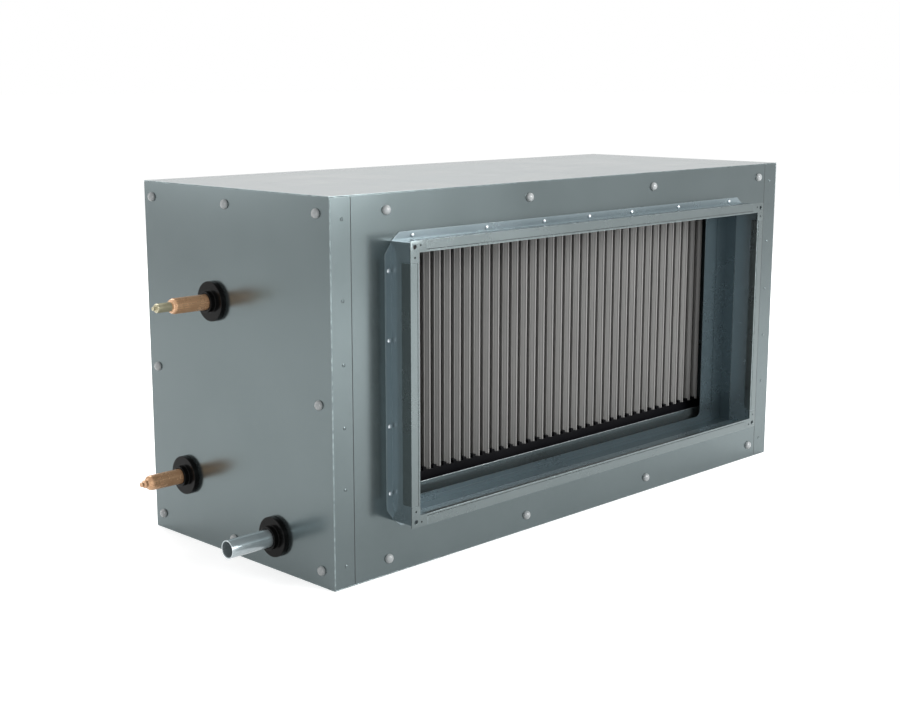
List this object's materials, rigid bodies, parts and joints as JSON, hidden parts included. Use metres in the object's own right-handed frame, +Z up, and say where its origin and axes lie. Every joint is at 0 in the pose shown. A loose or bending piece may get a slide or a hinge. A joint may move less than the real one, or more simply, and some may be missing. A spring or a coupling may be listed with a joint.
{
  "type": "direct expansion duct coil",
  "caption": "Rectangular sheet-metal duct casing with an evaporator coil, a drip tray and a droplet eliminator, flanged duct spigots, copper connections and a drain pipe.",
  "frame": {"origin": "centre of the casing's flat underside", "axes": "+Z up; -Y out of the duct opening with the droplet eliminator; -X towards the end that the pipes leave"},
  "size_m": [1.431, 0.628, 0.66],
  "materials": {
    "casing_sheet": "galvanised sheet, matt with a faint grain",
    "inner_sheet": "galvanised sheet, matt",
    "spigot_sheet": "galvanised sheet, satin",
    "duct_flange": "roll-formed galvanised sheet, satin",
    "insulation_mat": "dense mineral mat",
    "screw_caps": "light grey moulded plastic",
    "fins": "thin pressed fins, bright edges",
    "copper": "drawn copper tube, satin",
    "brass_fitting": "turned brass, satin",
    "grommet_rubber": "black moulded rubber",
    "tray_steel": "folded stainless sheet, satin",
    "drain_steel": "galvanised tube, bright",
    "blade_plastic": "extruded grey plastic, satin",
    "comb_plastic": "black moulded plastic"
  },
  "bodies": {
    "root": {"bottom_panel": "casing_sheet", "top_panel": "casing_sheet", "pipe_end_panel": "casing_sheet", "blind_end_panel": "casing_sheet", "front_panel": "casing_sheet", "rear_panel": "casing_sheet", "post_front_pipe_end": "casing_sheet", "post_front_blind_end": "casing_sheet", "post_rear_pipe_end": "casing_sheet", "post_rear_blind_end": "casing_sheet", "front_collar": "inner_sheet", "rear_collar": "inner_sheet", "front_window_frame": "inner_sheet", "rear_window_frame": "inner_sheet", "coil_top_channel": "inner_sheet", "coil_bottom_channel": "inner_sheet", "tube_sheet_pipe_end": "inner_sheet", "tube_sheet_blind_end": "inner_sheet", "cassette_channels": "inner_sheet", "support_rails": "inner_sheet", "front_spigot_top": "spigot_sheet", "front_spigot_bottom": "spigot_sheet", "front_spigot_blind_side": "spigot_sheet", "front_spigot_pipe_side": "spigot_sheet", "rear_spigot_top": "spigot_sheet", "rear_spigot_bottom": "spigot_sheet", "rear_spigot_blind_side": "spigot_sheet", "rear_spigot_pipe_side": "spigot_sheet", "front_flange_profiles": "duct_flange", "rear_flange_profiles": "duct_flange", "front_flange_corners": "duct_flange", "rear_flange_corners": "duct_flange", "insulation_bottom": "insulation_mat", "insulation_top": "insulation_mat", "insulation_pipe_end": "insulation_mat", "insulation_blind_end": "insulation_mat", "insulation_front": "insulation_mat", "insulation_rear": "insulation_mat", "front_panel_screws": "screw_caps", "rear_panel_screws": "screw_caps", "pipe_end_screws": "screw_caps", "blind_end_screws": "screw_caps", "fin_pack": "fins", "hairpin_tubes": "copper", "return_bends": "copper", "capillary_tubes": "copper", "liquid_pipe": "copper", "suction_header": "copper", "suction_pipe": "copper", "liquid_distributor": "brass_fitting", "liquid_cap": "brass_fitting", "pipe_grommets": "grommet_rubber", "drip_tray": "tray_steel", "drain_pipe": "drain_steel", "eliminator_blades": "blade_plastic", "bottom_comb": "comb_plastic", "top_comb": "comb_plastic"}
  },
  "joints": []
}
